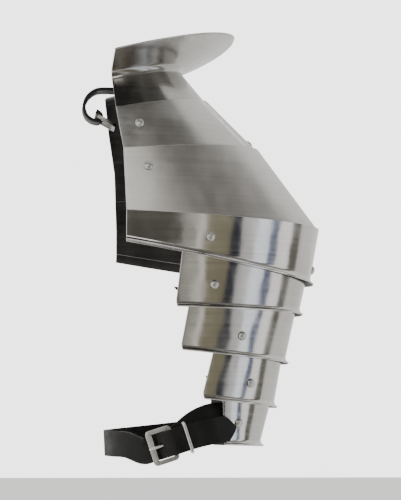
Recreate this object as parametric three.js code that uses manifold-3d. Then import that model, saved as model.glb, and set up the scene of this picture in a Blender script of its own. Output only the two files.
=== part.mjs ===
// Pauldron of polished sheet steel for the wearer's left shoulder, in millimetres.
// +X runs outward along the shoulder, +Y to the wearer's back and +Z up.
// The origin is the seat, under the neck strap on the plane that halves front and back.
import * as THREE from 'three';
import { mergeVertices } from 'three/addons/utils/BufferGeometryUtils.js';
import Module from 'manifold-3d';

// Sheet and how the plates lie over each other
const sheet = 1.2;
const capGap = 0.4;
const lameGap = 1.6;
const capPitch = sheet + capGap;
const lamePitch = sheet + lameGap;
const columnStep = 7.5;
const endStep = 1.5;

// Turned-out lower edge of the band and the lames
const lipHeight = 4.2;
const lipReach = 1.9;

// Rivets
const headRadius = 3.6;
const headHeight = 2.4;
const shankRadius = 1.5;
const burrRadius = 2.7;
const burrHeight = 0.9;
const seatGap = 0.25;
const holeRadius = 2.1;
const rivetSides = 10;

// Straps
const strapHalfWidth = 10;
const strapThick = 2.2;
const neckHalfWidth = 10;
const neckThick = 2.6;
const strapToPlate = 1.5;
const neckToPlate = 2.8;

// Buckle of the arm strap
const buckleCentre = new THREE.Vector3(0.8, -57, -273.7);
const buckleTilt = THREE.MathUtils.degToRad(18);
const barReach = 8.5;
const barWidth = 3.4;
const barThick = 2.6;
const frameHalf = 13.9;
const foldRadius = Math.hypot(barWidth, barThick) / 2 + 0.4 + strapThick / 2;
const tongueOver = foldRadius + strapThick + 0.45;
const prongRadius = 1.1;
const prongHole = 1.6;
const keeperAt = 20.5;
const keeperLength = 2.4;
const keeperWire = 1.9;

// Each shoulder line is half an ellipse in a plane that leans about the front-to-back axis.
// in: where its front and back ends stand, out: its outermost point, deep: half its depth,
// low: height of the ends, high: height of the outermost point, end and back: where it stops
// at the front and at the back, in degrees, drop: how much lower the back end is than the front end
const lines = {
  rim: { in: -38, out: 62, deep: 92, low: 28, high: 53.5, end: 90, back: 90, drop: 9 },
  crease: { in: -40, out: 17, deep: 66, low: 14, high: 27, end: 90, back: 90, drop: 0 },
  upperTop: { in: -36.5, out: 40.5, deep: 76, low: -13.5, high: 1.5, end: 90, back: 90, drop: 0 },
  mainTop: { in: -31, out: 81.5, deep: 86, low: -46.5, high: -37, end: 90, back: 90, drop: 0 },
  bandTop: { in: -29, out: 130.6, deep: 95, low: -95, high: -100.5, end: 90, back: 90, drop: 0 },
  bandFoot: { in: -29, out: 123.4, deep: 94, low: -114.4, high: -140.4, end: 90, back: 90, drop: 0 },
  lame1Foot: { in: -22, out: 114.8, deep: 84, low: -162.2, high: -164.4, end: 76.5, back: 66.8, drop: 0 },
  lame2Foot: { in: -8, out: 103.2, deep: 73, low: -193.4, high: -203.4, end: 78.2, back: 57.5, drop: 0 },
  lame3Foot: { in: 12, out: 94, deep: 63, low: -230.8, high: -238.4, end: 75.7, back: 52.8, drop: 0 },
  lame4Foot: { in: 27, out: 83, deep: 53, low: -267.5, high: -269, end: 66.7, back: 66.7, drop: 0 },
};

// Where each lame stops at its hidden upper edge, and at the back just under the plate above, in degrees
const headEnd = { lame1: 73, lame2: 71.5, lame3: 63.2, lame4: 62.9 };
const headBack = { lame1: 68, lame2: 63.5, lame3: 54.6, lame4: 62.9 };

// How far each plate runs under the one that covers it, as a share of the cover's wall
const tucks = { top: 0.7, upper: 0.46, main: 0.92, lame1: 0.35, lame2: 0.45, lame3: 0.5, lame4: 0.5 };

// along: share of the wall from its upper line to its lower line, degrees: place round the wall
const rivetPlaces = {
  upper: { along: 0.452, degrees: 80.3 },
  upperRidge: { along: 0.852, degrees: 0 },
  main: { along: 0.304, degrees: 81.7 },
  band: { along: 0.62, degrees: 65.4 },
  bandRidge: { along: 0.81, degrees: 0 },
  lame1: { along: 0.654, degrees: 63.1 },
  lame2: { along: 0.7, degrees: 50.7 },
  lame3: { along: 0.687, degrees: 44 },
  lame4: { along: 0.627, degrees: 52 },
};

const steelLook = { color: 0x9c9b96, roughness: 0.22, metalness: 1 };
const rivetLook = { color: 0xa8a7a2, roughness: 0.28, metalness: 1 };
const nickelLook = { color: 0xc2c4bd, roughness: 0.2, metalness: 1 };
const leatherLook = { color: 0x14130f, roughness: 0.6, metalness: 0 };

const wasm = await Module();
wasm.setup();

// Solids
function solidOf(geometry) {
  const bare = geometry.clone();
  bare.deleteAttribute('normal');
  bare.deleteAttribute('uv');
  const joined = mergeVertices(bare, 1e-4);
  const triangles = [];
  for (let i = 0; i < joined.index.count; i += 3) {
    const corner = [0, 1, 2].map((k) => joined.index.getX(i + k));
    if (new Set(corner).size === 3) triangles.push(...corner);
  }
  return new wasm.Manifold(
    new wasm.Mesh({
      numProp: 3,
      vertProperties: new Float32Array(joined.attributes.position.array),
      triVerts: new Uint32Array(triangles),
    }),
  );
}

function geometryOf(solid) {
  const mesh = solid.getMesh();
  const geometry = new THREE.BufferGeometry();
  geometry.setAttribute('position', new THREE.BufferAttribute(new Float32Array(mesh.vertProperties), 3));
  geometry.setIndex(new THREE.BufferAttribute(new Uint32Array(mesh.triVerts), 1));
  geometry.computeVertexNormals();
  return geometry;
}

// Shoulder lines and the walls between them
function pointOn(line, degrees) {
  const turn = THREE.MathUtils.degToRad(degrees);
  return new THREE.Vector3(
    line.in + (line.out - line.in) * Math.cos(turn),
    line.deep * Math.sin(turn),
    line.low + (line.high - line.low) * Math.cos(turn) - line.drop * Math.max(0, Math.sin(turn)),
  );
}

function between(upper, lower, along) {
  const line = {};
  for (const column of Object.keys(upper)) {
    line[column] = upper[column] + (lower[column] - upper[column]) * along;
  }
  return line;
}

// How much longer a level step through the wall is than a square one, outward and front to back
function slant(upper, lower) {
  return {
    out: Math.hypot(1, (lower.out - upper.out) / (lower.high - upper.high)),
    deep: Math.hypot(1, (lower.deep - upper.deep) / (lower.low - upper.low)),
  };
}

function inset(line, slope, distance) {
  return { ...line, out: line.out - distance * slope.out, deep: line.deep - distance * slope.deep };
}

function tucked(wall, along, distance, end, back = end) {
  const line = inset(between(wall.upper, wall.lower, along), slant(wall.upper, wall.lower), distance);
  return { ...line, end, back };
}

function lipOf(foot) {
  return {
    ...foot,
    out: foot.out + lipReach,
    deep: foot.deep + lipReach,
    low: foot.low - lipHeight,
    high: foot.high - lipHeight,
  };
}

function innerLine(rows, i) {
  const slopes = [];
  if (i > 0) slopes.push(slant(rows[i - 1], rows[i]));
  if (i < rows.length - 1) slopes.push(slant(rows[i], rows[i + 1]));
  const mean = (column) => slopes.reduce((sum, slope) => sum + slope[column], 0) / slopes.length;
  return inset(rows[i], { out: mean('out'), deep: mean('deep') }, sheet);
}

// A sheet through its lines from top to bottom, its thickness on the inner side
function plateGeometry(rows) {
  const stepsTo = (stop) => Math.ceil(stop / columnStep - 0.3) - 1;
  const frontSteps = stepsTo(Math.min(...rows.map((row) => row.end)));
  const backSteps = stepsTo(Math.max(...rows.map((row) => row.back)));
  const columns = frontSteps + backSteps + 3;
  const degreesAt = (row, j) => {
    if (j === 0) return -row.end;
    if (j === columns - 1) return row.back;
    return Math.min((j - 1 - frontSteps) * columnStep, row.back - (columns - 1 - j) * endStep);
  };
  const points = [];
  for (const inside of [false, true]) {
    rows.forEach((row, i) => {
      const line = inside ? innerLine(rows, i) : row;
      for (let j = 0; j < columns; j += 1) points.push(pointOn(line, degreesAt(row, j)));
    });
  }
  const last = rows.length - 1;
  const outer = (i, j) => i * columns + j;
  const inner = (i, j) => (rows.length + i) * columns + j;
  const triangles = [];
  const quad = (a, b, c, d) => triangles.push(a, b, c, a, c, d);
  for (let j = 0; j < columns - 1; j += 1) {
    for (let i = 0; i < last; i += 1) {
      quad(outer(i, j), outer(i + 1, j), outer(i + 1, j + 1), outer(i, j + 1));
      quad(inner(i, j), inner(i, j + 1), inner(i + 1, j + 1), inner(i + 1, j));
    }
    quad(outer(0, j), outer(0, j + 1), inner(0, j + 1), inner(0, j));
    quad(outer(last, j), inner(last, j), inner(last, j + 1), outer(last, j + 1));
  }
  const end = columns - 1;
  for (let i = 0; i < last; i += 1) {
    quad(outer(i, 0), inner(i, 0), inner(i + 1, 0), outer(i + 1, 0));
    quad(outer(i, end), outer(i + 1, end), inner(i + 1, end), inner(i, end));
  }
  const geometry = new THREE.BufferGeometry().setFromPoints(points);
  geometry.setIndex(triangles);
  return geometry;
}

// Rivets stand square to the wall they sit on
function wallPlace(wall, along, degrees) {
  const small = 0.01;
  const point = pointOn(between(wall.upper, wall.lower, along), degrees);
  const down = pointOn(between(wall.upper, wall.lower, along + small), degrees).sub(point);
  const round = pointOn(between(wall.upper, wall.lower, along), degrees + small).sub(point);
  const outward = down.cross(round).normalize();
  return { point, outward };
}

function turnedTo(outward) {
  return new THREE.Quaternion().setFromUnitVectors(new THREE.Vector3(0, 1, 0), outward);
}

function rivetGeometry(place, stack) {
  const inside = -stack - seatGap;
  const profile = [
    new THREE.Vector2(0, inside - burrHeight),
    new THREE.Vector2(burrRadius, inside - burrHeight),
    new THREE.Vector2(burrRadius, inside),
    new THREE.Vector2(shankRadius, inside),
    new THREE.Vector2(shankRadius, seatGap),
    new THREE.Vector2(headRadius, seatGap),
  ];
  for (const turn of [25, 50, 72]) {
    const angle = THREE.MathUtils.degToRad(turn);
    profile.push(new THREE.Vector2(headRadius * Math.cos(angle), seatGap + headHeight * Math.sin(angle)));
  }
  profile.push(new THREE.Vector2(0, seatGap + headHeight));
  const geometry = new THREE.LatheGeometry(profile, rivetSides);
  geometry.applyQuaternion(turnedTo(place.outward));
  geometry.translate(place.point.x, place.point.y, place.point.z);
  return geometry;
}

function holeSolid(place) {
  const length = 24;
  const geometry = new THREE.CylinderGeometry(holeRadius, holeRadius, length, 8);
  geometry.applyQuaternion(turnedTo(place.outward));
  geometry.translate(place.point.x, place.point.y, place.point.z);
  return solidOf(geometry);
}

// A strap along its stops. across: the way its width lies, half: half its width there
function strapGeometry(stops, samples, thick) {
  const curve = new THREE.CatmullRomCurve3(stops.map((stop) => stop.at), false, 'centripetal');
  const points = [];
  for (let s = 0; s <= samples; s += 1) {
    const share = s / samples;
    const place = share * (stops.length - 1);
    const k = Math.min(Math.floor(place), stops.length - 2);
    const part = place - k;
    const along = curve.getTangent(share);
    const across = stops[k].across.clone().lerp(stops[k + 1].across, part);
    across.addScaledVector(along, -across.dot(along)).normalize();
    const face = along.clone().cross(across).normalize().multiplyScalar(thick / 2);
    across.multiplyScalar(stops[k].half + (stops[k + 1].half - stops[k].half) * part);
    const middle = curve.getPoint(share);
    for (const [w, f] of [[-1, -1], [1, -1], [1, 1], [-1, 1]]) {
      points.push(middle.clone().addScaledVector(across, w).addScaledVector(face, f));
    }
  }
  const triangles = [];
  const quad = (a, b, c, d) => triangles.push(a, b, c, a, c, d);
  for (let s = 0; s < samples; s += 1) {
    for (let c = 0; c < 4; c += 1) {
      const d = (c + 1) % 4;
      quad(4 * s + c, 4 * s + d, 4 * s + 4 + d, 4 * s + 4 + c);
    }
  }
  quad(3, 2, 1, 0);
  quad(4 * samples, 4 * samples + 1, 4 * samples + 2, 4 * samples + 3);
  const geometry = new THREE.BufferGeometry().setFromPoints(points);
  geometry.setIndex(triangles);
  return geometry;
}

function roundedOutline(shape, left, low, right, high, corner) {
  shape.moveTo(left + corner, low);
  shape.lineTo(right - corner, low);
  shape.quadraticCurveTo(right, low, right, low + corner);
  shape.lineTo(right, high - corner);
  shape.quadraticCurveTo(right, high, right - corner, high);
  shape.lineTo(left + corner, high);
  shape.quadraticCurveTo(left, high, left, high - corner);
  shape.lineTo(left, low + corner);
  shape.quadraticCurveTo(left, low, left + corner, low);
  return shape;
}

function ringGeometry(box, wire, corner, depth) {
  const ring = roundedOutline(new THREE.Shape(), box.left, box.low, box.right, box.high, corner);
  const hole = new THREE.Path();
  roundedOutline(hole, box.left + wire, box.low + wire, box.right - wire, box.high - wire, corner / 2);
  ring.holes.push(hole);
  const geometry = new THREE.ExtrudeGeometry(ring, { depth, bevelEnabled: false, curveSegments: 4 });
  return geometry.translate(0, 0, -depth / 2);
}

// Walls, each from its upper line to its lower line
const walls = { band: { upper: lines.bandTop, lower: lines.bandFoot } };
walls.main = { upper: lines.mainTop, lower: tucked(walls.band, 0, capPitch, 90) };
walls.upper = { upper: lines.upperTop, lower: tucked(walls.main, 0, capPitch, 90) };
walls.lame1 = {
  upper: tucked(walls.band, 1, 2 * capPitch, headEnd.lame1, headBack.lame1),
  lower: lines.lame1Foot,
};
walls.lame2 = {
  upper: tucked(walls.lame1, 1, lamePitch, headEnd.lame2, headBack.lame2),
  lower: lines.lame2Foot,
};
walls.lame3 = {
  upper: tucked(walls.lame2, 1, lamePitch, headEnd.lame3, headBack.lame3),
  lower: lines.lame3Foot,
};
walls.lame4 = {
  upper: tucked(walls.lame3, 1, lamePitch, headEnd.lame4, headBack.lame4),
  lower: lines.lame4Foot,
};

// The rows of each plate, from its upper edge down
const plateRows = {
  top_plate: [
    lines.rim,
    lines.crease,
    tucked(walls.upper, 0, capPitch, 90),
    tucked(walls.upper, tucks.top, capPitch, 90),
  ],
  upper_plate: [
    lines.upperTop,
    walls.upper.lower,
    tucked(walls.main, tucks.upper, capPitch, 90),
  ],
  main_plate: [
    lines.mainTop,
    walls.main.lower,
    tucked(walls.band, tucks.main, capPitch, 90),
  ],
  shoulder_band: [lines.bandTop, lines.bandFoot, lipOf(lines.bandFoot)],
  lame_1: [
    tucked(walls.band, tucks.lame1, 2 * capPitch, headEnd.lame1),
    walls.lame1.upper,
    lines.lame1Foot,
    lipOf(lines.lame1Foot),
  ],
  lame_2: [
    tucked(walls.lame1, tucks.lame2, lamePitch, headEnd.lame2),
    walls.lame2.upper,
    lines.lame2Foot,
    lipOf(lines.lame2Foot),
  ],
  lame_3: [
    tucked(walls.lame2, tucks.lame3, lamePitch, headEnd.lame3),
    walls.lame3.upper,
    lines.lame3Foot,
    lipOf(lines.lame3Foot),
  ],
  lame_4: [
    tucked(walls.lame3, tucks.lame4, lamePitch, headEnd.lame4),
    walls.lame4.upper,
    lines.lame4Foot,
    lipOf(lines.lame4Foot),
  ],
};

// Each rivet: the wall it sits on, its place, the pieces that it goes through and their depth in all
const twoSheets = 2 * sheet + capGap;
const threeSheets = 3 * sheet + 2 * capGap + 0.3;
const pivotStack = 2 * sheet + lameGap + 0.3;
const strapStack = sheet + strapToPlate + strapThick;
const neckStack = sheet + neckToPlate + neckThick;
const armStraps = { front: 'arm_strap_buckle_end', back: 'arm_strap_tongue_end' };
const rivets = [];
const sides = { front: -1, back: 1 };
for (const [side, sign] of Object.entries(sides)) {
  const add = (name, wall, place, through, stack) => {
    const spot = rivetPlaces[place];
    rivets.push({
      name: `${name}_rivet_${side}`,
      place: wallPlace(walls[wall], spot.along, sign * spot.degrees),
      through,
      stack,
    });
  };
  add('upper', 'upper', 'upper', ['upper_plate', 'top_plate'], twoSheets);
  add('main', 'main', 'main', ['main_plate', 'upper_plate'], twoSheets);
  add('band', 'band', 'band', ['shoulder_band', 'main_plate', 'lame_1'], threeSheets);
  add('lame_1', 'lame1', 'lame1', ['lame_1', 'lame_2'], pivotStack);
  add('lame_2', 'lame2', 'lame2', ['lame_2', 'lame_3'], pivotStack);
  add('lame_3', 'lame3', 'lame3', ['lame_3', 'lame_4'], pivotStack);
  add('lame_4', 'lame4', 'lame4', ['lame_4', armStraps[side]], strapStack);
}
rivets.push({
  name: 'upper_rivet_ridge',
  place: wallPlace(walls.upper, rivetPlaces.upperRidge.along, 0),
  through: ['upper_plate', 'neck_strap'],
  stack: neckStack,
});
rivets.push({
  name: 'band_rivet_ridge',
  place: wallPlace(walls.band, rivetPlaces.bandRidge.along, 0),
  through: ['shoulder_band', 'main_plate', 'lame_1'],
  stack: threeSheets,
});

// Arm strap, in the buckle's own directions: along the strap, across it and toward the front
const alongBuckle = new THREE.Vector3(Math.cos(buckleTilt), 0, Math.sin(buckleTilt));
const acrossBuckle = new THREE.Vector3(-Math.sin(buckleTilt), 0, Math.cos(buckleTilt));
const frontward = new THREE.Vector3(0, -1, 0);

function atBuckle(along, front) {
  return buckleCentre.clone().addScaledVector(alongBuckle, along).addScaledVector(frontward, front);
}

function strapStop(x, y, z, leanX, leanY, half = strapHalfWidth) {
  return { at: new THREE.Vector3(x, y, z), across: new THREE.Vector3(leanX, leanY, 1).normalize(), half };
}

function buckleStop(along, front) {
  return { at: atBuckle(along, front), across: acrossBuckle.clone(), half: strapHalfWidth };
}

function insideLame(along, degrees) {
  const depth = sheet + strapToPlate + strapThick / 2;
  const spot = wallPlace(walls.lame4, along, degrees);
  const lower = wallPlace(walls.lame4, along + 0.1, degrees);
  return {
    at: spot.point.clone().addScaledVector(spot.outward, -depth),
    across: spot.point.clone().sub(lower.point).normalize(),
    half: strapHalfWidth,
  };
}

const buckleEndStops = [
  insideLame(0.56, -36),
  insideLame(0.56, -44),
  insideLame(0.54, -52),
  insideLame(0.5, -59),
  strapStop(44.5, -47.9, -250.2, -0.1, 0.14),
  strapStop(34, -52.2, -252.6, -0.3, 0.04),
  strapStop(25, -53.8, -257.5, -0.42, 0),
  strapStop(17, -53.6, -264.5, -0.4, 0),
  buckleStop(barReach + 2, -foldRadius),
  buckleStop(barReach, -foldRadius),
  buckleStop(barReach - 0.71 * foldRadius, -0.71 * foldRadius),
  buckleStop(barReach - foldRadius, 0),
  buckleStop(barReach - 0.71 * foldRadius, 0.71 * foldRadius),
  buckleStop(barReach, foldRadius),
  buckleStop(barReach + 2, foldRadius),
  buckleStop(barReach + 8, foldRadius),
  buckleStop(barReach + 14.5, foldRadius),
];

const tongueEndStops = [
  insideLame(0.58, 36),
  insideLame(0.58, 44),
  insideLame(0.58, 52),
  insideLame(0.58, 59),
  strapStop(43.6, 45.4, -256.6, -0.05, -0.26),
  strapStop(30, 52, -262.6, -0.1, -0.1),
  strapStop(10, 52.6, -265.4, -0.12, -0.03),
  strapStop(-14, 43.5, -268, -0.12, 0),
  strapStop(-34, 22, -270.2, -0.1, 0),
  strapStop(-41, -2, -271.4, -0.05, 0),
  strapStop(-35.5, -27, -272.2, 0, 0),
  strapStop(-25.5, -42.5, -273.2, -0.1, 0),
  buckleStop(-barReach - 5.5, -foldRadius - 1.4),
  buckleStop(-barReach, -foldRadius - 0.1),
  buckleStop(-barReach + 3.2, -foldRadius + 0.3),
  buckleStop(-0.9, 0.6),
  buckleStop(3.6, 4.5),
  buckleStop(barReach, tongueOver),
  buckleStop(barReach + 6, tongueOver + 0.1),
  buckleStop(barReach + 14.5, tongueOver),
  strapStop(32, -60.2, -264.2, -0.24, 0),
  strapStop(42, -57.6, -262.2, -0.2, 0),
  strapStop(51, -53.2, -260.6, -0.2, 0.04),
  strapStop(55.2, -51, -260, -0.2, 0.05, 5.4),
  strapStop(58.4, -49.2, -259.5, -0.2, 0.05, 0.8),
];

const prongRoot = atBuckle(3.4, 2.3);
const prongTip = atBuckle(-barReach - 2.2, barThick / 2 + prongRadius + 0.35);

function rodBetween(from, to, radius, extra, segments) {
  const way = to.clone().sub(from);
  const geometry = new THREE.CylinderGeometry(radius, radius, way.length() + extra, segments);
  geometry.applyQuaternion(turnedTo(way.clone().normalize()));
  const middle = from.clone().add(to).multiplyScalar(0.5);
  return geometry.translate(middle.x, middle.y, middle.z);
}

function placedRing(geometry, sideways, upward, through, centre) {
  const basis = new THREE.Matrix4().makeBasis(sideways, upward, through);
  geometry.applyMatrix4(basis);
  return geometry.translate(centre.x, centre.y, centre.z);
}

// Neck strap, in the plane that halves front and back
const backward = new THREE.Vector3(0, 1, 0);

function neckStop(x, z) {
  return { at: new THREE.Vector3(x, 0, z), across: backward.clone(), half: neckHalfWidth };
}

function underRidge(along) {
  const spot = wallPlace(walls.upper, along, 0);
  const depth = sheet + neckToPlate + neckThick / 2;
  const point = spot.point.addScaledVector(spot.outward, -depth);
  return neckStop(point.x, point.z);
}

const neckBar = new THREE.Vector3(-49, 0, -10.8);
const neckBarHalf = 1.4;
const neckFold = Math.hypot(neckBarHalf, neckBarHalf) + 0.4 + neckThick / 2;
const neckTilt = THREE.MathUtils.degToRad(-28);
const alongNeck = new THREE.Vector3(Math.cos(neckTilt), 0, Math.sin(neckTilt));
const aboveNeck = new THREE.Vector3(-Math.sin(neckTilt), 0, Math.cos(neckTilt));

function foldStop(along, above) {
  const point = neckBar.clone().addScaledVector(alongNeck, along).addScaledVector(aboveNeck, above);
  return neckStop(point.x, point.z);
}

const neckStops = [
  underRidge(1),
  underRidge(0.852),
  underRidge(0.6),
  underRidge(0.3),
  neckStop(31, 1.5),
  neckStop(15, 9.5),
  neckStop(-5, 10.5),
  neckStop(-25, 10.2),
  neckStop(-40, 11.4),
  neckStop(-50, 10.4),
  neckStop(-57, 4.6),
  neckStop(-59.4, -3),
  neckStop(-57.5, -9.6),
  foldStop(-3.4, -neckFold - 0.5),
  foldStop(0, -neckFold),
  foldStop(0.71 * neckFold, -0.71 * neckFold),
  foldStop(neckFold, 0),
  foldStop(0.71 * neckFold, 0.71 * neckFold),
  foldStop(0, neckFold),
  foldStop(-2.6, neckFold + 0.2),
];

// Pieces
const solids = {};
for (const [name, rows] of Object.entries(plateRows)) solids[name] = solidOf(plateGeometry(rows));
solids.arm_strap_buckle_end = solidOf(strapGeometry(buckleEndStops, 40, strapThick));
solids.arm_strap_tongue_end = solidOf(strapGeometry(tongueEndStops, 58, strapThick));
solids.neck_strap = solidOf(strapGeometry(neckStops, 48, neckThick));
for (const rivet of rivets) {
  const hole = holeSolid(rivet.place);
  for (const piece of rivet.through) solids[piece] = solids[piece].subtract(hole);
  solids[rivet.name] = solidOf(rivetGeometry(rivet.place, rivet.stack));
}

const frameBox = {
  left: -barReach - barWidth / 2,
  right: barReach + barWidth / 2,
  low: -frameHalf,
  high: frameHalf,
};
const frameRing = ringGeometry(frameBox, barWidth, 3, barThick);
solids.arm_buckle_frame = solidOf(placedRing(frameRing, alongBuckle, acrossBuckle, frontward, buckleCentre));
solids.arm_buckle_prong = solidOf(rodBetween(prongRoot, prongTip, prongRadius, 0, 10));
const slot = solidOf(rodBetween(prongRoot, prongTip, prongHole, 3, 10));
solids.arm_strap_tongue_end = solids.arm_strap_tongue_end.subtract(slot);

const keeperBox = {
  left: -strapHalfWidth - keeperWire - 0.7,
  right: strapHalfWidth + keeperWire + 0.7,
  low: foldRadius - strapThick / 2 - 0.4 - keeperWire,
  high: tongueOver + strapThick / 2 + 0.5 + keeperWire,
};
const keeperRing = ringGeometry(keeperBox, keeperWire, 2, keeperLength);
const keeperCentre = atBuckle(keeperAt, 0);
solids.arm_strap_keeper = solidOf(placedRing(keeperRing, acrossBuckle, frontward, alongBuckle, keeperCentre));

const neckBox = { left: -neckBarHalf, right: 17, low: -neckHalfWidth - 3.6, high: neckHalfWidth + 3.6 };
const neckRing = ringGeometry(neckBox, 2 * neckBarHalf, 2.5, 2 * neckBarHalf);
const throughNeck = alongNeck.clone().cross(backward);
const neckFrame = solidOf(placedRing(neckRing, alongNeck, backward, throughNeck, neckBar));
const prongFrom = neckBar.clone().addScaledVector(alongNeck, 5.2);
const prongTo = neckBar.clone().addScaledVector(alongNeck, 15.4);
solids.neck_buckle = neckFrame.add(solidOf(rodBetween(prongFrom, prongTo, 1.1, 0, 8)));

const looks = (name) => {
  if (name.includes('rivet')) return rivetLook;
  if (name.includes('keeper') || name.includes('buckle_frame') || name.includes('prong')) return nickelLook;
  if (name === 'neck_buckle') return nickelLook;
  if (name.includes('strap')) return leatherLook;
  return steelLook;
};

const pauldron = new THREE.Group();
pauldron.name = 'pauldron';
for (const [name, solid] of Object.entries(solids)) {
  const mesh = new THREE.Mesh(geometryOf(solid), new THREE.MeshStandardMaterial(looks(name)));
  mesh.name = name;
  pauldron.add(mesh);
}

export default pauldron;
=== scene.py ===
import math
import bpy
from mathutils import Matrix, Vector


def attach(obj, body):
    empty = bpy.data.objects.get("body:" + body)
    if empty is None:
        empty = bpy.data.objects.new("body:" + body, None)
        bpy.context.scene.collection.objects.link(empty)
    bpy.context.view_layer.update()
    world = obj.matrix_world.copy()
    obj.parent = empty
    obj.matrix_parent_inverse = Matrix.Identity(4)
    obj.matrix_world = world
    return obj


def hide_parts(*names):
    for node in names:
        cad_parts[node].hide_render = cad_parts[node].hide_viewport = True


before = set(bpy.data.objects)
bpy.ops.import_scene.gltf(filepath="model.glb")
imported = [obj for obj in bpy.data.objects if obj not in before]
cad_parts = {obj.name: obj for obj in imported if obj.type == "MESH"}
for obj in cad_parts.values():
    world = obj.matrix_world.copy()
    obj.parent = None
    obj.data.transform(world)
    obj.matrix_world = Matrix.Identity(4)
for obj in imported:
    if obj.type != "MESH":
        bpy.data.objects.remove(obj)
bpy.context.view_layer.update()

mm = 0.001

# sheet steel and how the plates lie over each other
sheet = 1.2 * mm
capPitch = 1.6 * mm
lamePitch = 2.8 * mm
lipHeight = 4.2 * mm
flareReach = 2.7 * mm
columns = 96


def row(inner, outer, deep, low, high, end=90, back=90, drop=0):
    sizes = {"in": inner, "out": outer, "deep": deep, "low": low, "high": high, "drop": drop}
    made = {name: size * mm for name, size in sizes.items()}
    made["end"] = end
    made["back"] = back
    return made


def between(upper, lower, along):
    return {name: upper[name] + (lower[name] - upper[name]) * along for name in upper}


def tucked(wall, along, distance, end=90, back=None):
    upper, lower = wall
    line = between(upper, lower, along)
    outSlope = (lower["out"] - upper["out"]) / (lower["high"] - upper["high"])
    deepSlope = (lower["deep"] - upper["deep"]) / (lower["low"] - upper["low"])
    line["out"] -= distance * math.hypot(1, outSlope)
    line["deep"] -= distance * math.hypot(1, deepSlope)
    line["end"] = end
    line["back"] = back or end
    return line


def flareOf(foot):
    rows = []
    for degrees in (16, 32, 48, 62, 75):
        turn = math.radians(degrees)
        out = flareReach * (1 - math.cos(turn)) / (1 - math.cos(math.radians(75)))
        down = lipHeight * math.sin(turn) / math.sin(math.radians(75))
        lip = dict(foot)
        lip["out"] += out
        lip["deep"] += out
        lip["low"] -= down
        lip["high"] -= down
        rows.append(lip)
    return rows


def pointOn(line, degrees):
    turn = math.radians(degrees)
    return Vector((
        line["in"] + (line["out"] - line["in"]) * math.cos(turn),
        line["deep"] * math.sin(turn),
        line["low"] + (line["high"] - line["low"]) * math.cos(turn) - line["drop"] * max(0, math.sin(turn)),
    ))


def wallPlace(wall, along, degrees):
    small = 0.01
    point = pointOn(between(*wall, along), degrees)
    down = pointOn(between(*wall, along + small), degrees) - point
    around = pointOn(between(*wall, along), degrees + small) - point
    return point, down.cross(around).normalized()


rim = row(-38, 62, 92, 28, 53.5, drop=9)
rimEdge = row(-38, 62.4, 92.4, 29.3, 54.9, drop=9)
crease = row(-40, 17, 66, 14, 27)
upperTop = row(-36.5, 40.5, 76, -13.5, 1.5)
mainTop = row(-31, 81.5, 86, -46.5, -37)
bandTop = row(-29, 130.6, 95, -95, -100.5)
bandFoot = row(-29, 123.4, 94, -114.4, -140.4)
lame1Foot = row(-22, 114.8, 84, -162.2, -164.4, end=76.5, back=66.8)
lame2Foot = row(-8, 103.2, 73, -193.4, -203.4, end=78.2, back=57.5)
lame3Foot = row(12, 94, 63, -230.8, -238.4, end=75.7, back=52.8)
lame4Foot = row(27, 83, 53, -267.5, -269, end=66.7, back=66.7)

bandWall = (bandTop, bandFoot)
mainWall = (mainTop, tucked(bandWall, 0, capPitch))
upperWall = (upperTop, tucked(mainWall, 0, capPitch))
lame1Wall = (tucked(bandWall, 1, 2 * capPitch, 73, 68), lame1Foot)
lame2Wall = (tucked(lame1Wall, 1, lamePitch, 71.5, 63.5), lame2Foot)
lame3Wall = (tucked(lame2Wall, 1, lamePitch, 63.2, 54.6), lame3Foot)
lame4Wall = (tucked(lame3Wall, 1, lamePitch, 62.9), lame4Foot)


# node helpers
def addNode(tree, kind, settings=None, values=None):
    node = tree.nodes.new(kind)
    for name, value in (settings or {}).items():
        setattr(node, name, value)
    for name, value in (values or {}).items():
        node.inputs[name].default_value = value
    return node


def newGroup(name, outputs):
    group = bpy.data.node_groups.new(name, "ShaderNodeTree")
    group.interface.new_socket("Vector", in_out="INPUT", socket_type="NodeSocketVector")
    for label, kind in outputs.items():
        group.interface.new_socket(label, in_out="OUTPUT", socket_type=kind)
    start = addNode(group, "NodeGroupInput")
    end = addNode(group, "NodeGroupOutput")
    return group, start, end


def stretchedNoise(tree, vector, turn, scale, detail):
    mapping = addNode(tree, "ShaderNodeMapping", values={"Rotation": turn, "Scale": scale})
    noise = addNode(tree, "ShaderNodeTexNoise", values={"Scale": 1.0, "Detail": detail})
    tree.links.new(vector, mapping.inputs["Vector"])
    tree.links.new(mapping.outputs["Vector"], noise.inputs["Vector"])
    return noise.outputs["Fac"]


def rangeOf(tree, value, low, high, toLow, toHigh):
    limits = {"From Min": low, "From Max": high, "To Min": toLow, "To Max": toHigh}
    node = addNode(tree, "ShaderNodeMapRange", values=limits)
    tree.links.new(value, node.inputs["Value"])
    return node.outputs["Result"]


def mathOf(tree, operation, first, second):
    node = addNode(tree, "ShaderNodeMath", {"operation": operation})
    for socket, value in zip(node.inputs, (first, second)):
        if isinstance(value, (int, float)):
            socket.default_value = value
        else:
            tree.links.new(value, socket)
    return node.outputs["Value"]


def mixOf(tree, share, first, second):
    node = addNode(tree, "ShaderNodeMix", {"data_type": "RGBA"})
    tree.links.new(share, node.inputs["Factor"])
    for socket, value in zip((node.inputs[6], node.inputs[7]), (first, second)):
        if isinstance(value, tuple):
            socket.default_value = value
        else:
            tree.links.new(value, socket)
    return node.outputs[2]


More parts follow.
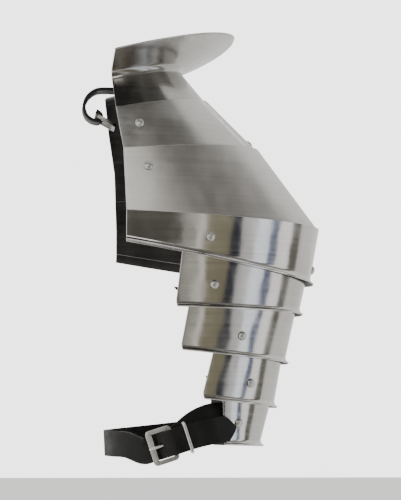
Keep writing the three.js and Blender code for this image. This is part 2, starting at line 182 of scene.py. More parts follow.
# polished metal: planishing waves, polishing lines round the plate and smudges
metalGroup, start, end = newGroup(
    "handPolish", {"Tone": "NodeSocketFloat", "Roughness": "NodeSocketFloat", "Height": "NodeSocketFloat"}
)
waves = stretchedNoise(metalGroup, start.outputs["Vector"], (0, 0, 0), (26, 26, 26), 1.5)
lines = stretchedNoise(metalGroup, start.outputs["Vector"], (0, 0, 0), (5, 5, 420), 1.5)
smudges = stretchedNoise(metalGroup, start.outputs["Vector"], (0.4, 0.2, 0), (60, 60, 35), 2)
lineShare = rangeOf(metalGroup, lines, 0.3, 0.7, 0, 1)
smudgeShare = rangeOf(metalGroup, smudges, 0.4, 0.72, 0, 1)
lineRough = mathOf(metalGroup, "MULTIPLY", lineShare, 0.03)
smudgeRough = mathOf(metalGroup, "MULTIPLY", smudgeShare, 0.07)
rough = mathOf(metalGroup, "ADD", mathOf(metalGroup, "ADD", lineRough, smudgeRough), 0.1)
lineTone = mathOf(metalGroup, "MULTIPLY", lineShare, 0.4)
smudgeTone = mathOf(metalGroup, "MULTIPLY", smudgeShare, 0.6)
tone = mathOf(metalGroup, "ADD", smudgeTone, lineTone)
metalGroup.links.new(tone, end.inputs["Tone"])
metalGroup.links.new(rough, end.inputs["Roughness"])
metalGroup.links.new(waves, end.inputs["Height"])

# bright rubbed edges
edgeGroup, start, end = newGroup("rubbedEdge", {"Mask": "NodeSocketFloat"})
geometry = addNode(edgeGroup, "ShaderNodeNewGeometry")
patches = stretchedNoise(edgeGroup, start.outputs["Vector"], (0, 0, 0), (160, 160, 160), 3)
sharp = rangeOf(edgeGroup, geometry.outputs["Pointiness"], 0.51, 0.58, 0, 1)
patchShare = rangeOf(edgeGroup, patches, 0.3, 0.6, 0.4, 1)
edgeGroup.links.new(mathOf(edgeGroup, "MULTIPLY", sharp, patchShare), end.inputs["Mask"])

# leather: pebbled grain, creases and rubbed high spots
leatherGroup, start, end = newGroup(
    "strapGrain", {"Height": "NodeSocketFloat", "Rub": "NodeSocketFloat", "Blotch": "NodeSocketFloat"}
)
pebbles = addNode(
    leatherGroup, "ShaderNodeTexVoronoi", {"feature": "SMOOTH_F1"}, {"Scale": 1300, "Smoothness": 0.6}
)
leatherGroup.links.new(start.outputs["Vector"], pebbles.inputs["Vector"])
fibres = stretchedNoise(leatherGroup, start.outputs["Vector"], (0, 0, 0), (420, 420, 420), 5)
blotch = stretchedNoise(leatherGroup, start.outputs["Vector"], (0, 0, 0), (70, 70, 110), 4)
pebbleHeight = mathOf(leatherGroup, "MULTIPLY", pebbles.outputs["Distance"], 0.6)
grain = mathOf(leatherGroup, "ADD", pebbleHeight, fibres)
leatherGroup.links.new(grain, end.inputs["Height"])
leatherGroup.links.new(rangeOf(leatherGroup, fibres, 0.52, 0.7, 0, 1), end.inputs["Rub"])
leatherGroup.links.new(rangeOf(leatherGroup, blotch, 0.35, 0.7, 0, 1), end.inputs["Blotch"])


def useGroup(tree, group, vector):
    node = addNode(tree, "ShaderNodeGroup", {"node_tree": group})
    tree.links.new(vector, node.inputs["Vector"])
    return node


def newMaterial(name, metallic):
    material = bpy.data.materials.new(name)
    material.use_nodes = True
    tree = material.node_tree
    shader = tree.nodes["Principled BSDF"]
    shader.inputs["Metallic"].default_value = metallic
    place = addNode(tree, "ShaderNodeTexCoord").outputs["Object"]
    bump = addNode(tree, "ShaderNodeBump")
    tree.links.new(bump.outputs["Normal"], shader.inputs["Normal"])
    return material, tree, shader, place, bump


def metalMaterial(name, dark, light, edge, wave, extraRough):
    material, tree, shader, place, bump = newMaterial(name, 1)
    polish = useGroup(tree, metalGroup, place)
    worn = useGroup(tree, edgeGroup, place)
    colour = mixOf(tree, polish.outputs["Tone"], dark, light)
    colour = mixOf(tree, worn.outputs["Mask"], colour, edge)
    tree.links.new(colour, shader.inputs["Base Color"])
    tree.links.new(mathOf(tree, "ADD", polish.outputs["Roughness"], extraRough), shader.inputs["Roughness"])
    tree.links.new(polish.outputs["Height"], bump.inputs["Height"])
    bump.inputs["Strength"].default_value = wave
    bump.inputs["Distance"].default_value = 1.6 * mm
    return material, tree, place, bump, polish


steel = metalMaterial(
    "polishedSteel", (0.47, 0.455, 0.43, 1), (0.6, 0.585, 0.555, 1), (0.78, 0.77, 0.75, 1), 0.5, 0
)[0]

# the shoulder plates are left a little duller than the band and the lames
satin = metalMaterial(
    "satinSteel", (0.45, 0.435, 0.41, 1), (0.58, 0.565, 0.535, 1), (0.8, 0.79, 0.77, 1), 0.4, 0.19
)[0]

# and the top plate lies between the two
halfSatin = metalMaterial(
    "halfSatinSteel", (0.35, 0.338, 0.318, 1), (0.46, 0.447, 0.422, 1), (0.8, 0.79, 0.77, 1), 0.4, 0.06
)[0]

# the second plate keeps hammer marks by its front rivet
hammered, tree, place, bump, polish = metalMaterial(
    "hammeredSteel", (0.45, 0.435, 0.41, 1), (0.58, 0.565, 0.535, 1), (0.8, 0.79, 0.77, 1), 0.4, 0.19
)
spot = wallPlace(upperWall, 0.452, -80.3)[0]
away = addNode(tree, "ShaderNodeVectorMath", {"operation": "DISTANCE"})
away.inputs[1].default_value = spot
tree.links.new(place, away.inputs[0])
dents = addNode(tree, "ShaderNodeTexVoronoi", {"feature": "SMOOTH_F1"}, {"Scale": 190, "Smoothness": 0.8})
tree.links.new(place, dents.inputs["Vector"])
near = rangeOf(tree, away.outputs["Value"], 5 * mm, 20 * mm, 0.2, 0)
marks = mathOf(tree, "MULTIPLY", dents.outputs["Distance"], near)
tree.links.new(mathOf(tree, "ADD", polish.outputs["Height"], marks), bump.inputs["Height"])

rivetSteel = metalMaterial(
    "rivetSteel", (0.5, 0.485, 0.455, 1), (0.64, 0.63, 0.6, 1), (0.8, 0.79, 0.77, 1), 0.25, 0.24
)[0]
nickel = metalMaterial(
    "nickelPlate", (0.74, 0.725, 0.68, 1), (0.86, 0.85, 0.81, 1), (0.93, 0.92, 0.9, 1), 0.15, 0.19
)[0]

# near-black nickel for the neck buckle
darkNickel = metalMaterial(
    "darkNickel", (0.1, 0.095, 0.085, 1), (0.22, 0.21, 0.19, 1), (0.5, 0.48, 0.44, 1), 0.2, 0.1
)[0]

# inside of the plates, coloured near black
innerBlack, tree, shader, place, bump = newMaterial("innerBlackSteel", 0.55)
polish = useGroup(tree, metalGroup, place)
colour = mixOf(tree, polish.outputs["Tone"], (0.012, 0.011, 0.01, 1), (0.05, 0.046, 0.042, 1))
tree.links.new(colour, shader.inputs["Base Color"])
tree.links.new(mathOf(tree, "ADD", polish.outputs["Roughness"], 0.3), shader.inputs["Roughness"])
tree.links.new(polish.outputs["Height"], bump.inputs["Height"])
bump.inputs["Strength"].default_value = 0.3
bump.inputs["Distance"].default_value = 1 * mm

leather, tree, shader, place, bump = newMaterial("blackLeather", 0)
grain = useGroup(tree, leatherGroup, place)
worn = useGroup(tree, edgeGroup, place)
colour = mixOf(tree, grain.outputs["Blotch"], (0.003, 0.0028, 0.0026, 1), (0.008, 0.0073, 0.006, 1))
colour = mixOf(tree, mathOf(tree, "MULTIPLY", grain.outputs["Rub"], 0.35), colour, (0.02, 0.018, 0.014, 1))
colour = mixOf(tree, mathOf(tree, "MULTIPLY", worn.outputs["Mask"], 0.5), colour, (0.05, 0.043, 0.03, 1))
tree.links.new(colour, shader.inputs["Base Color"])
tree.links.new(rangeOf(tree, grain.outputs["Blotch"], 0, 1, 0.42, 0.62), shader.inputs["Roughness"])
shader.inputs["Specular IOR Level"].default_value = 0.3
tree.links.new(grain.outputs["Height"], bump.inputs["Height"])
bump.inputs["Strength"].default_value = 0.4
bump.inputs["Distance"].default_value = 0.25 * mm
print("materials ready")


# modelling helpers
def pickOnly(obj):
    bpy.ops.object.select_all(action="DESELECT")
    obj.select_set(True)
    bpy.context.view_layer.objects.active = obj


def editMode():
    bpy.ops.object.mode_set(mode="EDIT")


def objectMode():
    bpy.ops.object.mode_set(mode="OBJECT")


def clearPick(kind):
    editMode()
    bpy.ops.mesh.select_mode(type=kind)
    bpy.ops.mesh.select_all(action="DESELECT")
    objectMode()


def startPiece(name):
    piece = bpy.context.active_object
    piece.name = name
    piece.data.name = name
    return piece


def addModifier(piece, kind, settings):
    modifier = piece.modifiers.new(kind.lower(), kind)
    for name, value in settings.items():
        setattr(modifier, name, value)
    pickOnly(piece)
    bpy.ops.object.modifier_apply(modifier=modifier.name)


sharpTurn = math.radians(50)
plateRound = 0.32 * mm
strapRound = 0.6 * mm


def roundEdges(piece, width, segments):
    addModifier(piece, "BEVEL", {
        "width": width, "segments": segments, "limit_method": "ANGLE", "angle_limit": sharpTurn,
    })


def placeAt(piece, matrix):
    pickOnly(piece)
    piece.matrix_world = matrix
    bpy.ops.object.transform_apply(location=True, rotation=True, scale=True)


def finishPiece(piece, node, body, material=None):
    if material:
        piece.data.materials.append(material)
    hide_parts(node)
    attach(piece, body)


def tiltOf(line):
    return math.atan2(line["high"] - line["low"], line["out"] - line["in"])


def reachOf(line):
    return math.hypot(line["out"] - line["in"], line["high"] - line["low"])


centre = (0, 0, 0)


def toLine(line, fromReach, fromDeep):
    share = (reachOf(line) / fromReach, line["deep"] / fromDeep, 1)
    bpy.ops.transform.resize(value=share, center_override=centre)
    bpy.ops.transform.rotate(value=tiltOf(line), orient_axis="Y", center_override=centre)
    bpy.ops.transform.translate(value=(line["in"], 0, line["low"]))


def toFlat(line):
    bpy.ops.transform.translate(value=(-line["in"], 0, -line["low"]))
    bpy.ops.transform.rotate(value=-tiltOf(line), orient_axis="Y", center_override=centre)


def turnOn(line, point):
    sideways = point.y / line["deep"]
    outward = (point.x - line["in"]) / (line["out"] - line["in"])
    return math.degrees(math.atan2(sideways, outward))


def flatPoint(line, degrees):
    return pointOn({**line, "drop": 0}, degrees)


# a plate drawn down from its upper edge, row by row, then cut back to where each row stops
def makePlate(plate):
    rows = plate["rows"]
    bpy.ops.object.select_all(action="DESELECT")
    bpy.ops.mesh.primitive_circle_add(vertices=2 * columns, radius=1, fill_type="NOTHING")
    piece = startPiece(plate["name"])
    clearPick("VERT")
    for vertex in piece.data.vertices:
        vertex.select = vertex.co.x < -1e-4
    editMode()
    bpy.ops.mesh.delete(type="VERT")
    bpy.ops.mesh.select_all(action="SELECT")
    toLine(rows[0], 1, 1)
    for upper, lower in zip(rows, rows[1:]):
        bpy.ops.mesh.extrude_region_move()
        toFlat(upper)
        toLine(lower, reachOf(upper), upper["deep"])
    objectMode()
    rowNumbers = []
    for vertex in piece.data.vertices:
        turns = [turnOn(line, vertex.co) for line in rows]
        misses = [(flatPoint(line, turn) - vertex.co).length for line, turn in zip(rows, turns)]
        k = misses.index(min(misses))
        rowNumbers.append(k)
        stop = rows[k]["end"] if turns[k] < 0 else rows[k]["back"]
        vertex.co = pointOn(rows[k], turns[k] * stop / 90)
    clearPick("EDGE")
    for edge in piece.data.edges:
        edge.select = all(rowNumbers[v] == plate["roundRow"] for v in edge.vertices)
    editMode()
    bpy.ops.mesh.bevel(
        offset=plate["roundSize"], segments=plate["roundSteps"], affect="EDGES", clamp_overlap=True
    )
    bpy.ops.mesh.select_all(action="SELECT")
    bpy.ops.mesh.normals_make_consistent(inside=False)
    objectMode()
    outermost = max(piece.data.polygons, key=lambda face: face.center.x - abs(face.center.y))
    if outermost.normal.x < 0:
        editMode()
        bpy.ops.mesh.flip_normals()
        objectMode()
    for material in plate["materials"]:
        piece.data.materials.append(material)
    addModifier(piece, "SOLIDIFY", {
        "thickness": sheet, "offset": -1, "use_even_offset": True,
        "material_offset": 1, "material_offset_rim": 0,
    })
    roundEdges(piece, plateRound, 3)
    bpy.ops.object.shade_smooth()
    addModifier(piece, "WEIGHTED_NORMAL", {"mode": "FACE_AREA", "weight": 50})
    finishPiece(piece, plate["node"], plate["body"])


topPlate = {
    "name": "topPlate", "node": "top_plate", "body": "cap", "materials": [halfSatin, innerBlack],
    "rows": [rimEdge, rim, crease, tucked(upperWall, 0, capPitch), tucked(upperWall, 0.7, capPitch)],
    "roundRow": 2, "roundSize": 5.5 * mm, "roundSteps": 7,
}
makePlate(topPlate)

upperPlate = {
    "name": "upperPlate", "node": "upper_plate", "body": "cap", "materials": [hammered, innerBlack],
    "rows": [upperTop, upperWall[1], tucked(mainWall, 0.46, capPitch)],
    "roundRow": 1, "roundSize": 1.2 * mm, "roundSteps": 2,
}
makePlate(upperPlate)

mainPlate = {
    "name": "mainPlate", "node": "main_plate", "body": "cap", "materials": [satin, innerBlack],
    "rows": [mainTop, mainWall[1], tucked(bandWall, 0.92, capPitch)],
    "roundRow": 1, "roundSize": 1.2 * mm, "roundSteps": 2,
}
makePlate(mainPlate)

shoulderBand = {
    "name": "shoulderBand", "node": "shoulder_band", "body": "cap", "materials": [steel, innerBlack],
    "rows": [bandTop, bandFoot] + flareOf(bandFoot),
    "roundRow": 1, "roundSize": 0.4 * mm, "roundSteps": 2,
}
makePlate(shoulderBand)

lame1 = {
    "name": "lame1", "node": "lame_1", "body": "cap", "materials": [steel, innerBlack],
    "rows": [tucked(bandWall, 0.35, 2 * capPitch, 73), lame1Wall[0], lame1Foot] + flareOf(lame1Foot),
    "roundRow": 1, "roundSize": 1.2 * mm, "roundSteps": 2,
}
makePlate(lame1)

lame2 = {
    "name": "lame2", "node": "lame_2", "body": "second_lame", "materials": [steel, innerBlack],
    "rows": [tucked(lame1Wall, 0.45, lamePitch, 71.5), lame2Wall[0], lame2Foot] + flareOf(lame2Foot),
    "roundRow": 1, "roundSize": 1.2 * mm, "roundSteps": 2,
}
makePlate(lame2)

lame3 = {
    "name": "lame3", "node": "lame_3", "body": "third_lame", "materials": [steel, innerBlack],
    "rows": [tucked(lame2Wall, 0.5, lamePitch, 63.2), lame3Wall[0], lame3Foot] + flareOf(lame3Foot),
    "roundRow": 1, "roundSize": 1.2 * mm, "roundSteps": 2,
}
makePlate(lame3)

lame4 = {
    "name": "lame4", "node": "lame_4", "body": "fourth_lame", "materials": [steel, innerBlack],
    "rows": [tucked(lame3Wall, 0.5, lamePitch, 62.9), lame4Wall[0], lame4Foot] + flareOf(lame4Foot),
    "roundRow": 1, "roundSize": 1.2 * mm, "roundSteps": 2,
}
makePlate(lame4)
print("plates ready")


# round pieces drawn up ring by ring, each ring a radius and a height
def turnRings(name, rings, sides):
    bpy.ops.object.select_all(action="DESELECT")
    bpy.ops.mesh.primitive_circle_add(
        vertices=sides, radius=rings[0][0], fill_type="NGON", location=(0, 0, 0)
    )
    piece = startPiece(name)
    editMode()
    bpy.ops.mesh.select_all(action="SELECT")
    bpy.ops.transform.translate(value=(0, 0, rings[0][1]))
    for (radius, height), (nextRadius, nextHeight) in zip(rings, rings[1:]):
        share = nextRadius / radius
        bpy.ops.mesh.extrude_region_move()
        bpy.ops.transform.translate(value=(0, 0, nextHeight - height))
        bpy.ops.transform.resize(value=(share, share, 1), center_override=(0, 0, nextHeight))
    bpy.ops.mesh.select_all(action="SELECT")
    bpy.ops.mesh.normals_make_consistent(inside=False)
    objectMode()
    bpy.ops.object.shade_smooth_by_angle(angle=math.radians(40))
    return piece


rivet = {
    "head": 3.6 * mm, "rise": 2.4 * mm, "shank": 1.5 * mm,
    "burr": 2.7 * mm, "burrRise": 0.9 * mm, "seat": 0.25 * mm,
}


def rivetRings(stack):
    inside = -stack - rivet["seat"]
    seat = rivet["seat"]
    rings = [
        (0.6 * mm, inside - rivet["burrRise"]),
        (0.78 * rivet["burr"], inside - 0.92 * rivet["burrRise"]),
        (0.95 * rivet["burr"], inside - 0.7 * rivet["burrRise"]),
        (rivet["burr"], inside - 0.35 * rivet["burrRise"]),
        (rivet["burr"], inside),
        (rivet["shank"], inside),
        (rivet["shank"], seat),
        (0.97 * rivet["head"], seat),
    ]
    for degrees in (8, 18, 30, 42, 54, 66, 76, 84):
        turn = math.radians(degrees)
        rings.append((rivet["head"] * math.cos(turn), seat + rivet["rise"] * math.sin(turn)))
    return rings


rivetFamilies = [
    {"stack": 2.8 * mm, "rivets": [
        ("upper_rivet_front", "cap", upperWall, 0.452, -80.3),
        ("upper_rivet_back", "cap", upperWall, 0.452, 80.3),
        ("main_rivet_front", "cap", mainWall, 0.304, -81.7),
        ("main_rivet_back", "cap", mainWall, 0.304, 81.7),
    ]},
    {"stack": 4.7 * mm, "rivets": [
        ("band_rivet_front", "cap", bandWall, 0.62, -65.4),
        ("band_rivet_back", "cap", bandWall, 0.62, 65.4),
        ("band_rivet_ridge", "cap", bandWall, 0.81, 0),
    ]},
    {"stack": 4.3 * mm, "rivets": [
        ("lame_1_rivet_front", "cap", lame1Wall, 0.654, -63.1),
        ("lame_1_rivet_back", "cap", lame1Wall, 0.654, 63.1),
        ("lame_2_rivet_front", "second_lame", lame2Wall, 0.7, -50.7),
        ("lame_2_rivet_back", "second_lame", lame2Wall, 0.7, 50.7),
        ("lame_3_rivet_front", "third_lame", lame3Wall, 0.687, -44),
        ("lame_3_rivet_back", "third_lame", lame3Wall, 0.687, 44),
    ]},
    {"stack": 4.9 * mm, "rivets": [
        ("lame_4_rivet_front", "fourth_lame", lame4Wall, 0.627, -52),
        ("lame_4_rivet_back", "fourth_lame", lame4Wall, 0.627, 52),
    ]},
    {"stack": 6.6 * mm, "rivets": [
        ("upper_rivet_ridge", "cap", upperWall, 0.852, 0),
    ]},
]
for family in rivetFamilies:
    model = turnRings("rivetModel", rivetRings(family["stack"]), 32)
    for node, body, wall, along, degrees in family["rivets"]:
        piece = model.copy()
        piece.data = model.data.copy()
        piece.name = "made_" + node
        bpy.context.collection.objects.link(piece)
        point, outward = wallPlace(wall, along, degrees)
        turn = Vector((0, 0, 1)).rotation_difference(outward)
        placeAt(piece, Matrix.Translation(point) @ turn.to_matrix().to_4x4())
        finishPiece(piece, node, body, rivetSteel)
    bpy.data.objects.remove(model)
print("rivets ready")

# arm strap and its buckle, in the buckle's own directions
strapHalf = 10 * mm
strapThick = 2.2 * mm
buckleCentre = Vector((0.8, -57, -273.7)) * mm
buckleTilt = math.radians(18)
alongBuckle = Vector((math.cos(buckleTilt), 0, math.sin(buckleTilt)))
acrossBuckle = Vector((-math.sin(buckleTilt), 0, math.cos(buckleTilt)))
frontward = Vector((0, -1, 0))
backward = Vector((0, 1, 0))
barReach = 8.5 * mm
barWidth = 3.4 * mm
barThick = 2.6 * mm
frameHalf = 13.9 * mm
prongRadius = 1.1 * mm
foldRadius = math.hypot(barWidth, barThick) / 2 + 0.4 * mm + strapThick / 2
tongueOver = foldRadius + strapThick + 0.45 * mm


def atBuckle(along, front):
    return buckleCentre + alongBuckle * along + frontward * front


def buckleStop(along, front):
    return atBuckle(along, front), acrossBuckle, strapHalf


def strapStop(x, y, z, leanX, leanY, half=10):
    return Vector((x, y, z)) * mm, Vector((leanX, leanY, 1)).normalized(), half * mm


def insideLame(along, degrees):
    depth = sheet + 1.5 * mm + strapThick / 2
    point, outward = wallPlace(lame4Wall, along, degrees)
    lower = wallPlace(lame4Wall, along + 0.1, degrees)[0]
    return point - outward * depth, (point - lower).normalized(), strapHalf


def curvePoint(points, share):
    last = len(points) - 1
    place = min(max(share, 0), 1) * last
    k = min(int(place), last - 1)
    part = place - k
    p1, p2 = points[k], points[k + 1]
    p0 = points[k - 1] if k > 0 else 2 * p1 - p2
    p3 = points[k + 2] if k + 2 <= last else 2 * p2 - p1
    d0, d1, d2 = ((b - a).length ** 0.5 for a, b in ((p0, p1), (p1, p2), (p2, p3)))
    leave = ((p1 - p0) / d0 - (p2 - p0) / (d0 + d1) + (p2 - p1) / d1) * d1
    reach = ((p2 - p1) / d1 - (p3 - p1) / (d1 + d2) + (p3 - p2) / d2) * d1
    bend = -3 * p1 + 3 * p2 - 2 * leave - reach
    twist = 2 * p1 - 2 * p2 + leave + reach
    return p1 + leave * part + bend * part ** 2 + twist * part ** 3


def makeStrap(strap):
    stops = strap["stops"]
    points = [stop[0] for stop in stops]
    bpy.ops.object.select_all(action="DESELECT")
    bpy.ops.mesh.primitive_grid_add(x_subdivisions=strap["steps"], y_subdivisions=8, size=2)
    piece = startPiece(strap["name"])
    for vertex in piece.data.vertices:
        share = (vertex.co.x + 1) / 2
        side = vertex.co.y
        place = share * (len(stops) - 1)
        k = min(int(place), len(stops) - 2)
        part = place - k
        along = (curvePoint(points, share + 1e-4) - curvePoint(points, share - 1e-4)).normalized()
        across = stops[k][1].lerp(stops[k + 1][1], part)
        across = (across - along * across.dot(along)).normalized()
        half = stops[k][2] + (stops[k + 1][2] - stops[k][2]) * part
        vertex.co = curvePoint(points, share) + across * half * side
    addModifier(piece, "SOLIDIFY", {"thickness": strap["thick"], "offset": 0})
    roundEdges(piece, strapRound, 3)
    if "hole" in strap:
        root, tip, radius = strap["hole"]
        way = tip - root
        bpy.ops.mesh.primitive_cylinder_add(vertices=24, radius=radius, depth=way.length + 3 * mm)
        punch = startPiece("punch")
        turn = Vector((0, 0, 1)).rotation_difference(way.normalized())
        placeAt(punch, Matrix.Translation((root + tip) / 2) @ turn.to_matrix().to_4x4())
        addModifier(piece, "BOOLEAN", {"object": punch, "operation": "DIFFERENCE", "solver": "EXACT"})
        bpy.data.objects.remove(punch)
    pickOnly(piece)
    editMode()
    bpy.ops.mesh.select_all(action="SELECT")
    bpy.ops.mesh.normals_make_consistent(inside=False)
    objectMode()
    bpy.ops.object.shade_smooth()
    addModifier(piece, "WEIGHTED_NORMAL", {"mode": "FACE_AREA", "weight": 50})
    finishPiece(piece, strap["node"], strap["body"], leather)


buckleEnd = {
    "name": "armStrapBuckleEnd", "node": "arm_strap_buckle_end", "body": "fourth_lame",
    "thick": strapThick, "steps": 110,
    "stops": [
        insideLame(0.56, -36), insideLame(0.56, -44), insideLame(0.54, -52), insideLame(0.5, -59),
        strapStop(44.5, -47.9, -250.2, -0.1, 0.14),
        strapStop(34, -52.2, -252.6, -0.3, 0.04),
        strapStop(25, -53.8, -257.5, -0.42, 0),
        strapStop(17, -53.6, -264.5, -0.4, 0),
        buckleStop(barReach + 2 * mm, -foldRadius),
        buckleStop(barReach, -foldRadius),
        buckleStop(barReach - 0.71 * foldRadius, -0.71 * foldRadius),
        buckleStop(barReach - foldRadius, 0),
        buckleStop(barReach - 0.71 * foldRadius, 0.71 * foldRadius),
        buckleStop(barReach, foldRadius),
        buckleStop(barReach + 2 * mm, foldRadius),
        buckleStop(barReach + 8 * mm, foldRadius),
        buckleStop(barReach + 14.5 * mm, foldRadius),
    ],
}
makeStrap(buckleEnd)

prong = {
    "root": atBuckle(3.4 * mm, 2.3 * mm),
    "tip": atBuckle(-barReach - 2.2 * mm, barThick / 2 + 1.45 * mm),
    "radius": prongRadius,
}
tongueEnd = {
    "name": "armStrapTongueEnd", "node": "arm_strap_tongue_end", "body": "fourth_lame",
    "thick": strapThick, "steps": 180,
    "hole": (prong["root"], prong["tip"], 1.6 * mm),
    "stops": [
        insideLame(0.58, 36), insideLame(0.58, 44), insideLame(0.58, 52), insideLame(0.58, 59),
        strapStop(43.6, 45.4, -256.6, -0.05, -0.26),
        strapStop(30, 52, -262.6, -0.1, -0.1),
        strapStop(10, 52.6, -265.4, -0.12, -0.03),
        strapStop(-14, 43.5, -268, -0.12, 0),
        strapStop(-34, 22, -270.2, -0.1, 0),
        strapStop(-41, -2, -271.4, -0.05, 0),
        strapStop(-35.5, -27, -272.2, 0, 0),
        strapStop(-25.5, -42.5, -273.2, -0.1, 0),
        buckleStop(-barReach - 5.5 * mm, -foldRadius - 1.4 * mm),
        buckleStop(-barReach, -foldRadius - 0.1 * mm),
        buckleStop(-barReach + 3.2 * mm, -foldRadius + 0.3 * mm),
        buckleStop(-0.9 * mm, 0.6 * mm),
        buckleStop(3.6 * mm, 4.5 * mm),
        buckleStop(barReach, tongueOver),
        buckleStop(barReach + 6 * mm, tongueOver + 0.1 * mm),
        buckleStop(barReach + 14.5 * mm, tongueOver),
        strapStop(32, -60.2, -264.2, -0.24, 0),
        strapStop(42, -57.6, -262.2, -0.2, 0),
        strapStop(51, -53.2, -260.6, -0.2, 0.04),
        strapStop(55.2, -51, -260, -0.2, 0.05, 5.4),
        strapStop(58.4, -49.2, -259.5, -0.2, 0.05, 0.8),
    ],
}
makeStrap(tongueEnd)

# neck strap, in the plane that halves front and back
neckHalf = 10 * mm
neckThick = 2.6 * mm
neckBar = Vector((-49, 0, -10.8)) * mm
neckTilt = math.radians(-28)
alongNeck = Vector((math.cos(neckTilt), 0, math.sin(neckTilt)))
aboveNeck = Vector((-math.sin(neckTilt), 0, math.cos(neckTilt)))
neckWire = 2.8 * mm
neckFold = math.hypot(neckWire, neckWire) / 2 + 0.4 * mm + neckThick / 2


def neckStop(x, z):
    return Vector((x, 0, z)) * mm, backward, neckHalf


def underRidge(along):
    point, outward = wallPlace(upperWall, along, 0)
    return point - outward * (sheet + 2.8 * mm + neckThick / 2), backward, neckHalf


def foldStop(along, above):
    return neckBar + alongNeck * along + aboveNeck * above, backward, neckHalf


neckStrap = {
    "name": "neckStrap", "node": "neck_strap", "body": "cap", "thick": neckThick, "steps": 130,
    "stops": [
        underRidge(1), underRidge(0.852), underRidge(0.6), underRidge(0.3),
        neckStop(31, 1.5), neckStop(15, 9.5), neckStop(-5, 10.5), neckStop(-25, 10.2), neckStop(-40, 11.4),
        neckStop(-50, 10.4), neckStop(-57, 4.6), neckStop(-59.4, -3), neckStop(-57.5, -9.6),
        foldStop(-3.4 * mm, -neckFold - 0.5 * mm),
        foldStop(0, -neckFold),
        foldStop(0.71 * neckFold, -0.71 * neckFold),
        foldStop(neckFold, 0),
        foldStop(0.71 * neckFold, 0.71 * neckFold),
        foldStop(0, neckFold),
        foldStop(-2.6 * mm, neckFold + 0.2 * mm),
    ],
}
makeStrap(neckStrap)
print("straps ready")


# a ring of wire: a flat plate with its middle cut out, thickened and rounded
def makeRing(ring):
    left, low, right, high = ring["box"]
    halfWire = ring["wire"] / 2
    bpy.ops.object.select_all(action="DESELECT")
    bpy.ops.mesh.primitive_plane_add(size=1, location=(0, 0, 0))
    piece = startPiece(ring["name"])
    editMode()
    bpy.ops.mesh.select_all(action="SELECT")
    bpy.ops.transform.resize(value=(right - left, high - low, 1), center_override=centre)
    bpy.ops.transform.translate(value=((left + right) / 2, (low + high) / 2, 0))
    bpy.ops.mesh.bevel(offset=ring["corner"], segments=6, affect="VERTICES")
    bpy.ops.mesh.inset(thickness=ring["wire"])
    bpy.ops.mesh.delete(type="FACE")
    clearPick("VERT")
    for vertex in piece.data.vertices:
        byPin = left + halfWire < vertex.co.x < left + 3 * halfWire
        vertex.select = byPin and low + halfWire < vertex.co.y < high - halfWire
    editMode()
    bpy.ops.transform.translate(value=(ring.get("broad", 0), 0, 0))
    objectMode()
    addModifier(piece, "SOLIDIFY", {"thickness": ring["depth"], "offset": 0})
    roundEdges(piece, ring["round"], 4)
    editMode()
    bpy.ops.mesh.select_all(action="SELECT")
    bpy.ops.mesh.normals_make_consistent(inside=False)
    objectMode()
    bpy.ops.object.shade_smooth()
    matrix = Matrix(ring["axes"]).transposed().to_4x4()
    matrix.translation = ring["at"]
    placeAt(piece, matrix)
    return piece


def makeProng(name, root, tip, radius):
    way = tip - root
    length = way.length
    rings = [
        (0.3 * radius, 0),
        (0.75 * radius, 0.12 * radius),
        (radius, 0.5 * radius),
        (radius, 0.7 * length),
        (0.85 * radius, length - 1.2 * radius),
        (0.65 * radius, length - 0.5 * radius),
        (0.25 * radius, length),
    ]
    piece = turnRings(name, rings, 24)
    turn = Vector((0, 0, 1)).rotation_difference(way.normalized())
    placeAt(piece, Matrix.Translation(root) @ turn.to_matrix().to_4x4())
    return piece


buckleFrame = {
    "name": "armBuckleFrame", "axes": (alongBuckle, acrossBuckle, frontward), "at": buckleCentre,
    "box": (-barReach - barWidth / 2, -frameHalf, barReach + barWidth / 2, frameHalf), "broad": 1.1 * mm,
    "wire": barWidth, "corner": 3.2 * mm, "depth": barThick, "round": 0.95 * mm,
}
piece = makeRing(buckleFrame)
finishPiece(piece, "arm_buckle_frame", "fourth_lame", nickel)

piece = makeProng("armBuckleProng", prong["root"], prong["tip"], prong["radius"])
finishPiece(piece, "arm_buckle_prong", "fourth_lame", nickel)

keeperWire = 1.9 * mm
keeperHalf = strapHalf + keeperWire + 0.7 * mm
keeper = {
    "name": "armStrapKeeper", "axes": (acrossBuckle, frontward, alongBuckle), "at": atBuckle(20.5 * mm, 0),
    "box": (
        -keeperHalf, foldRadius - strapThick / 2 - 0.4 * mm - keeperWire,
        keeperHalf, tongueOver + strapThick / 2 + 0.5 * mm + keeperWire,
    ),
    "wire": keeperWire, "corner": 2.2 * mm, "depth": 2.4 * mm, "round": 0.75 * mm,
}
piece = makeRing(keeper)
finishPiece(piece, "arm_strap_keeper", "fourth_lame", nickel)

neckBuckle = {
    "name": "neckBuckle", "axes": (alongNeck, backward, alongNeck.cross(backward)), "at": neckBar,
    "box": (-neckWire / 2, -neckHalf - 3.6 * mm, 17 * mm, neckHalf + 3.6 * mm),
    "wire": neckWire, "corner": 2.6 * mm, "depth": neckWire, "round": 0.9 * mm,
}
piece = makeRing(neckBuckle)
neckRoot = neckBar + alongNeck * 5.2 * mm
neckTip = neckBar + alongNeck * 15.4 * mm
neckProng = makeProng("neckProng", neckRoot, neckTip, prongRadius)
pickOnly(piece)
neckProng.select_set(True)
bpy.ops.object.join()
finishPiece(piece, "neck_buckle", "cap", darkNickel)
print("buckles ready")


# studio: pale floor, soft light all round, cards and softboxes that the steel mirrors
def stageMaterial(name, colour, strength):
    material = bpy.data.materials.new(name)
    material.use_nodes = True
    tree = material.node_tree
    tree.nodes.clear()
    glow = addNode(tree, "ShaderNodeEmission", values={"Color": colour, "Strength": strength})
    output = addNode(tree, "ShaderNodeOutputMaterial")
    tree.links.new(glow.outputs["Emission"], output.inputs["Surface"])
    return material


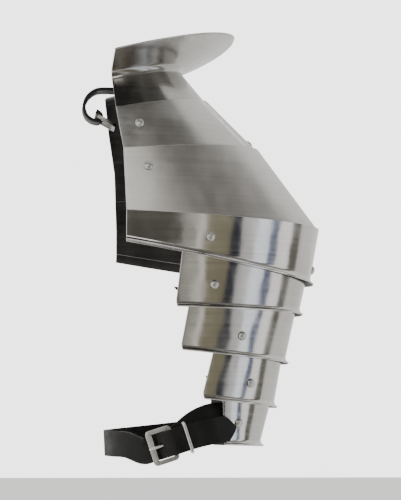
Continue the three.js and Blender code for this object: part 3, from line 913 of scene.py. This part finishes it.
def addCard(name, fromTurn, toTurn, low, high, colour, strength, distance=0.65):
    turn = math.radians((fromTurn + toTurn) / 2)
    wide = 2 * distance * math.tan(math.radians(abs(toTurn - fromTurn) / 2))
    at = (0.045 + distance * math.sin(turn), -distance * math.cos(turn), (low + high) / 2)
    bpy.ops.object.select_all(action="DESELECT")
    bpy.ops.mesh.primitive_plane_add(size=1, location=at, rotation=(math.pi / 2, 0, turn))
    card = startPiece(name)
    card.scale = (wide, high - low, 1)
    card.data.materials.append(stageMaterial(name, colour, strength))
    card.visible_camera = False
    card.visible_shadow = False


bpy.ops.object.select_all(action="DESELECT")
bpy.ops.mesh.primitive_plane_add(size=60, location=(0, 0, -0.8))
floor = startPiece("floor")
floorMaterial = bpy.data.materials.new("paleFloor")
floorMaterial.use_nodes = True
floorMaterial.node_tree.nodes["Principled BSDF"].inputs["Base Color"].default_value = (0.88, 0.88, 0.87, 1)
floorMaterial.node_tree.nodes["Principled BSDF"].inputs["Roughness"].default_value = 0.8
floor.data.materials.append(floorMaterial)

cards = [
    ("cardFront", -12, 18, -0.75, 0.02, (0.13, 0.125, 0.11, 1), 1),
    ("cardPale", 18, 24, -0.75, 0.05, (0.55, 0.54, 0.5, 1), 1),
    ("stripBright", 24, 27, -0.75, 0.05, (1, 0.98, 0.92, 1), 1.3),
    ("cardOlive", 27, 40, -0.75, 0.05, (0.34, 0.31, 0.22, 1), 1),
    ("cardNavy", 40, 47, -0.75, 0.05, (0.04, 0.045, 0.07, 1), 1),
    ("cardLight", 47, 56, -0.75, 0.05, (0.75, 0.75, 0.75, 1), 1.2),
    ("softBox", 56, 66, -0.75, 0.05, (0.84, 0.9, 1, 1), 2),
    ("cardBlue", 66, 73, -0.75, 0.05, (0.2, 0.24, 0.38, 1), 1),
    ("sideBox", 73, 86, -0.75, 0.05, (1, 1, 1, 1), 1.7),
    ("cardSide", 86, 98, -0.75, 0.05, (0.2, 0.19, 0.17, 1), 1),
    ("frontBox", -24, 12, 0.04, 0.24, (1, 0.99, 0.97, 1), 2.2),
    ("cardMiddle", 12, 62, 0.05, 0.5, (0.25, 0.24, 0.225, 1), 1),
    ("cardRight", 62, 100, 0.05, 0.5, (0.42, 0.41, 0.4, 1), 1),
    ("cardAbove", -70, 34, 0.26, 1.3, (0.03, 0.029, 0.027, 1), 1),
    ("cardOver", 30, 75, 0.5, 1.1, (0.12, 0.118, 0.112, 1), 1),
]
for card in cards:
    addCard(*card)

world = bpy.data.worlds.new("softStudio")
bpy.context.scene.world = world
world.use_nodes = True
tree = world.node_tree
light = tree.nodes["Background"]
light.inputs["Color"].default_value = (0.97, 0.97, 0.96, 1)
light.inputs["Strength"].default_value = 1.25
backdrop = addNode(tree, "ShaderNodeBackground", values={"Color": (0.98, 0.98, 0.97, 1), "Strength": 3.4})
sight = addNode(tree, "ShaderNodeLightPath")
either = addNode(tree, "ShaderNodeMixShader")
tree.links.new(sight.outputs["Is Camera Ray"], either.inputs[0])
tree.links.new(light.outputs[0], either.inputs[1])
tree.links.new(backdrop.outputs[0], either.inputs[2])
tree.links.new(either.outputs[0], tree.nodes["World Output"].inputs["Surface"])

# camera: a little below the middle and to the wearer's inner side
cameraAt = Vector((-0.1025, -1.6857, -0.2709))
aim = Vector((0.035, 0, -0.117))
cameraData = bpy.data.cameras.new("camera")
cameraData.lens = 152
cameraData.sensor_width = 36
camera = bpy.data.objects.new("camera", cameraData)
bpy.context.collection.objects.link(camera)
camera.location = cameraAt
camera.rotation_euler = (aim - cameraAt).to_track_quat("-Z", "Y").to_euler()
bpy.context.scene.camera = camera
print("studio ready")
